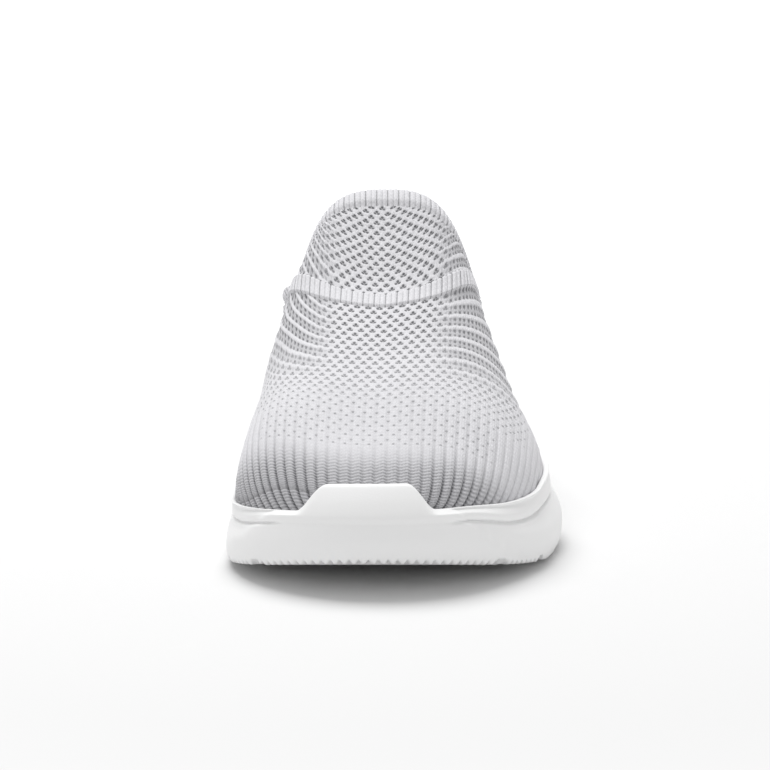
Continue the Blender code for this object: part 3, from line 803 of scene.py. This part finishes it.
def cuff_and_lining():
    """The rolled ribbed cuff round the collar, and the lining under the whole knit.

    The cuff goes along the outer face, round a half circle over the wall's edge and back along the
    inner face. The lining is the outer face moved in by the wall.
    """
    c = shares_across(ribbed_sides)
    out_s = np.linspace(0, 1, CUFF_ROWS)[:, None]
    start, stop = cuff_start(c)[None, :], collar(c)[None, :]
    r = start * (1 - out_s) + stop * out_s
    wide_c = np.broadcast_to(c, r.shape)
    face = on_knit(r, wide_c)
    normal = normals(face)
    ahead = face[-1] - face[-2]
    ahead /= np.linalg.norm(ahead, axis=1)[:, None]
    middle = face - normal * WALL / 2
    rise = CUFF_RAISE * ease(out_s, 0, 0.35) * ease(up_of(c), 0.0, 0.06)[None, :]
    across, row = fabric(r, wide_c)
    half = WALL / 2 + rise - CUFF_RIB_DEPTH * fine_ribs(across, 0.22)
    outer = middle + normal * half[:, :, None]
    inner = middle - normal * half[:, :, None]
    turn = np.linspace(0, np.pi, LIP_ROWS + 2)[1:-1]
    lip = (
        middle[-1]
        + normal[-1] * (half[-1][:, None] * np.cos(turn)[:, None, None])
        + ahead[None] * (half[-1][:, None] * np.sin(turn)[:, None, None])
    )
    points = np.concatenate([outer, lip, inner[::-1]])
    rows, acrosses = (
        np.concatenate([value, np.repeat(value[-1:], LIP_ROWS, axis=0), value[::-1]])
        for value in (row, across)
    )
    fields = {
        "fabric": np.stack([acrosses / COLUMN, rows, np.ones(rows.shape)], axis=-1),
        "zone": np.zeros(rows.shape + (3,)),
    }
    cuff = grid_mesh("knit_cuff", points, KNIT, flip=True, fields=fields)

    c = shares_across(sides // 2)
    s = np.linspace(0, 1, quick_share(LINING_ROWS))[:, None]
    r = cuff_start(c)[None, :] * s
    c = np.broadcast_to(c, r.shape)
    face = on_knit(r, c)
    normal = normals(face)
    normal[0] = (0, -1, 0)
    across, row = fabric(r, c)
    open_, pair, rib = zones(across, row)
    points = face - normal * (WALL - 0.2 * knit_relief(across, row, open_, pair, rib))[:, :, None]
    fields = {
        "fabric": np.stack([across / COLUMN, row, np.zeros(row.shape)], axis=-1),
        "zone": np.stack([open_ * 0.45, pair * 0.3, rib * 0.3], axis=-1),
    }
    lining = grid_mesh("knit_lining", points, LINING, merge=TINY, fields=fields)


cuff_and_lining()


HUG_RANGE, HUG_STEPS = (0.001, 0.022), 40     # where the knit is looked for, and in how many halvings


def hug(z):
    """How far in from the outline the rim's inner wall stands at height z, clear of the knit."""
    near = RIM_WIDTH - HUG_RANGE[0]
    far = RIM_WIDTH + HUG_RANGE[1]
    for _ in range(HUG_STEPS):
        middle = (near + far) / 2
        at = OUTER - NORMAL * middle[:, None]
        out = inside(at[:, 0], at[:, 1], z) > 0
        near = np.where(out, middle, near)
        far = np.where(out, far, middle)
    above = z > rim(STATION, SIDE_OF) + TINY
    return np.where(above, far, RIM_WIDTH) - CLOSE


def through(rings, counts):
    """Rings between the given ones, on a cubic through them with the given number of steps each."""
    rings = np.array(rings)
    gap = np.linalg.norm(np.diff(rings, axis=0), axis=2).mean(axis=1)
    at = np.concatenate([[0], np.cumsum(np.sqrt(gap))])
    slope = np.gradient(rings, at, axis=0)
    made = []
    for k, count in enumerate(counts):
        s = (np.arange(count) / count)[:, None, None]
        span = at[k + 1] - at[k]
        start = (2 * s**3 - 3 * s**2 + 1) * rings[k] + (s**3 - 2 * s**2 + s) * span * slope[k]
        end = (3 * s**2 - 2 * s**3) * rings[k + 1] + (s**3 - s**2) * span * slope[k + 1]
        made.append(start + end)
    return np.concatenate([*made, rings[-1:]])


def tread(flat, around):
    """Height of the tread: the underside, cross gaps between the lugs and small teeth at its edge."""
    station = (flat[..., 1] + LENGTH / 2) / LENGTH
    behind = station * LENGTH
    number = np.round(behind / LUG_PITCH)
    from_gap = np.abs(behind - number * LUG_PITCH)
    has_gap = (number > 0.5) & (number < LENGTH / LUG_PITCH - 0.5)
    at = number * LUG_PITCH / LENGTH
    has_gap &= (at < LUG_FREE[0]) | (at > LUG_FREE[1])
    gap = LUG_DEPTH * (1 - ease(from_gap, LUG_GAP / 2 - LUG_EDGE, LUG_GAP / 2 + LUG_EDGE)) * has_gap
    teeth = TEETH_DEPTH * (0.5 - 0.5 * np.cos(2 * np.pi * around / TEETH)) ** TEETH_POWER
    return bottom(station) + np.maximum(gap, teeth)


def ladder(loop, height, columns):
    """Points across a closed loop between its inner and outer side, row by row from toe to heel."""
    half = len(loop) // 2
    inner = loop[: half + 1, None, :2]
    outer = np.concatenate([loop[:1], loop[: half - 1 : -1]])[:, None, :2]
    share = np.linspace(0, 1, columns)[None, :, None]
    flat = inner * (1 - share) + outer * share
    rows = np.concatenate([flat, height(flat, share[..., 0])[:, :, None]], axis=2)
    rows[:, 0], rows[:, -1] = loop[: half + 1], np.concatenate([loop[:1], loop[: half - 1 : -1]])
    return rows


def body_mesh(name, rings, low, high, material):
    """A closed body from stacked rings and the ladders that close it below and above."""
    parts = [(rings, True, False), (low, False, False), (high, False, True)]
    points = []
    quads = []
    base = 0
    for grid, closed, flip in parts:
        rows, columns = grid.shape[:2]
        number = base + np.arange(rows * columns).reshape(rows, columns)
        if closed:
            number = np.concatenate([number, number[:, :1]], axis=1)
        quad = np.stack([number[:-1, :-1], number[1:, :-1], number[1:, 1:], number[:-1, 1:]], axis=-1)
        quad = quad.reshape(-1, 4)
        quads.append(quad[:, ::-1] if flip else quad)
        points.append(grid.reshape(-1, 3))
        base += rows * columns
    return face_mesh(name, np.concatenate(points), np.concatenate(quads), material, merge=TINY)


def foam_sole():
    """Moulded sole: rings round the outline from the tread up its side, over the rim, into the cup."""
    step = np.linalg.norm(np.roll(OUTER, -1, axis=0) - OUTER, axis=1)
    around = np.concatenate([[0], np.cumsum(step)[:-1]])
    around *= np.round(step.sum() / TEETH) * TEETH / step.sum()
    low = bottom(STATION)
    edge = rim(STATION, SIDE_OF)
    off_axis = np.abs(OUTER[:, 0] - OUTER[0, 0] - BUMPER_SHIFT)
    in_front = 1 - ease(STATION, *BUMPER_LENGTH)
    top = edge + BUMPER_RISE * in_front * (1 - ease(ease(off_axis, BUMPER_TOP, BUMPER_FOOT), 0, 1))
    height = edge - low
    groove = edge - HEEL_HEIGHT * by_side("drop", STATION, SIDE_OF)
    groove_top = groove + 1.8 * GROOVE_HALF
    cut = GROOVE_DEPTH * np.maximum(ease(off_axis, *GROOVE_ENDS), ease(STATION, *GROOVE_BACK))
    lean = SIDE_LEAN * (MEDIAL_LEAN + (1 - MEDIAL_LEAN) * SIDE_OF)
    lean = lean * ease(STATION, *LEAN_RISE) * (1 - ease(STATION, *LEAN_FALL))
    floor = cup_floor(STATION)
    rim_in = hug(top)
    middle = (floor + top) / 2
    upper_half = (middle + top) / 2
    rim_out = rim_in - RIM_EDGE
    above = np.minimum(0.15 * RIM_WIDTH + 0.90 * lean, 0.9 * rim_out)

    def wall_ring(inset, z):
        flat = OUTER - NORMAL * inset[:, None]
        if z is None:
            z = tread(flat, around)
        return np.column_stack([flat, z])

    def side_ring(inset, z):
        face_edge = BUMPER_TOP + (top.max() - z)
        beside = ease(off_axis, face_edge - FACE_BLEND, face_edge + FACE_BLEND)
        return wall_ring(inset + FACE_STEP * beside * (1 - ease(STATION, *FACE_FADE)), z)

    rings = [
        wall_ring(1.60 * RIM_WIDTH, None),
        wall_ring(0.75 * RIM_WIDTH, None),
        wall_ring(0.36 * RIM_WIDTH, None),
        side_ring(0.16 * RIM_WIDTH, low + 0.10 * height),
        side_ring(0.03 * RIM_WIDTH, low + 0.28 * height),
        side_ring(0.15 * lean, low + 0.46 * height),
        side_ring(0.66 * above, groove - 1.3 * GROOVE_HALF),
        side_ring(0.80 * above + 0.06 * cut, groove - 0.6 * GROOVE_HALF),
        side_ring(above + 0.8 * cut, groove),
        side_ring(above + 0.12 * cut, groove + 0.6 * GROOVE_HALF),
        side_ring(above, groove_top),
        side_ring(above + 0.33 * (rim_out - above), groove_top + 0.45 * (top - groove_top)),
        side_ring(above + 0.70 * (rim_out - above), groove_top + 0.80 * (top - groove_top)),
        wall_ring(0.92 * rim_out, groove_top + 0.96 * (top - groove_top)),
        wall_ring(rim_out + 0.2 * RIM_EDGE, top),
        wall_ring(rim_in - 0.25 * RIM_EDGE, top - 0.0001),
        wall_ring(rim_in, top - 0.0005),
        wall_ring(hug(upper_half), upper_half),
        wall_ring(hug(middle), middle),
        wall_ring(RIM_WIDTH - FIT, floor),
    ]
    counts = [4, 3, 4, 4, 3, 4, 3, 3, 3, 3, 5, 5, 3, 3, 3, 2, 3, 2, 2]
    rings = through(rings, counts)

    def low_height(flat, _):
        return tread(flat, 0.0)

    def high_height(flat, _):
        return cup_floor((flat[..., 1] + LENGTH / 2) / LENGTH)

    low_ladder = ladder(rings[0], low_height, 12)
    high_ladder = ladder(rings[-1], high_height, 12)
    made = body_mesh("foam_sole", rings, low_ladder, high_ladder, FOAM)
    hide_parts("sole")


foam_sole()


def insole_pad():
    """Insole: a thin pad in the cup with a rounded edge and a dished heel."""
    behind_upper = ease(STATION, *OPEN_FROM)
    inset = RIM_WIDTH + FIT + (WALL + FIT) * (1 - behind_upper)

    def lift(at):
        return INSOLE_CUP * ease(at, *CUP_RISE)

    def ring(more, up, down):
        flat = OUTER - NORMAL * (inset + more)[:, None]
        at = (flat[:, 1] + LENGTH / 2) / LENGTH
        return np.column_stack([flat, cup_floor(at) + FIT + up * (INSOLE_THICK + lift(at)) - down])

    turn = np.linspace(0, np.pi / 2, 7)
    rings = [ring(0, 0, 0), ring(0, 0.5, 0)]
    rings += [ring(INSOLE_EDGE * (1 - np.cos(a)), 1, INSOLE_EDGE * (1 - np.sin(a))) for a in turn]
    rings += [ring(INSOLE_EDGE + 0.0008, 1, 0)]

    def low_height(flat, _):
        return cup_floor((flat[..., 1] + LENGTH / 2) / LENGTH) + FIT

    def high_height(flat, share):
        at = (flat[..., 1] + LENGTH / 2) / LENGTH
        dish = (2 * np.abs(share - 0.5)) ** DISH_POWER
        return cup_floor(at) + FIT + INSOLE_THICK + lift(at) * dish

    rings = np.array(rings)
    low, high = ladder(rings[0], low_height, 24), ladder(rings[-1], high_height, 48)
    made = body_mesh("insole_pad", rings, low, high, CLOTH)
    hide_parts("insole")


insole_pad()


def studio():
    """White floor that glows with painted light away from the shoe, an even sky, a soft light overhead,
    a camera.
    """
    mesh = bpy.data.meshes.new("floor")
    corners = [(-6, -6, 0), (6, -6, 0), (6, 6, 0), (-6, 6, 0)]
    mesh.from_pydata(corners, [], [(0, 1, 2, 3)])
    floor = bpy.data.objects.new("floor", mesh)
    paint = bpy.data.materials.new("floor_white")
    paint.use_nodes = True
    tree = paint.node_tree
    shader = tree.nodes["Principled BSDF"]
    shader.inputs["Base Color"].default_value = (0.78, 0.78, 0.78, 1)
    shader.inputs["Roughness"].default_value = 0.9
    shader.inputs["Specular IOR Level"].default_value = 0.0
    shader.inputs["Emission Color"].default_value = (1, 1, 1, 1)
    place = tree.nodes.new("ShaderNodeTexCoord")
    x, y, _ = split(tree, place.outputs["Object"])
    away = (x * x + y * y).do("SQRT")
    # Painted light: the floor glows more than 0.25 m from the shoe, so the far floor reads white while
    # the shadow by the shoe stays dark.
    tree.links.new((away.rise(0.25, 0.9) * 0.72).socket, shader.inputs["Emission Strength"])
    mesh.materials.append(paint)
    bpy.context.scene.collection.objects.link(floor)

    world = bpy.data.worlds.new("sky")
    bpy.context.scene.world = world
    world.use_nodes = True
    world.node_tree.nodes["Background"].inputs["Color"].default_value = (1, 1, 1, 1)
    world.node_tree.nodes["Background"].inputs["Strength"].default_value = 0.59

    light = bpy.data.lights.new("overhead", "AREA")
    light.shape = "DISK"
    light.size = 1.2
    light.energy = 20.0
    lamp = bpy.data.objects.new("overhead", light)
    lamp.location = (-0.20, 0.35, 1.5)
    lamp.rotation_mode = "QUATERNION"
    lamp.rotation_quaternion = (AIM - lamp.location).to_track_quat("-Z", "Y")
    bpy.context.scene.collection.objects.link(lamp)

    lens = bpy.data.cameras.new("camera")
    lens.sensor_width = 36
    lens.lens = 36 * FOCAL / PICTURE
    lens.clip_start = 0.05
    lens.clip_end = 50
    camera = bpy.data.objects.new("camera", lens)
    back = Vector((0, -np.cos(CAMERA_UP), np.sin(CAMERA_UP)))
    turned = (-back).to_track_quat("-Z", "Y")
    metre = CAMERA_AT / FOCAL
    right = (PICTURE / 2 - AIM_PIXEL[0]) * metre
    over = (AIM_PIXEL[1] - PICTURE / 2) * metre
    camera.rotation_mode = "QUATERNION"
    camera.rotation_quaternion = turned
    camera.location = AIM + back * CAMERA_AT + turned @ Vector((right, over, 0))
    bpy.context.scene.collection.objects.link(camera)
    bpy.context.scene.camera = camera


studio()
bpy.context.scene.view_settings.view_transform = "Standard"
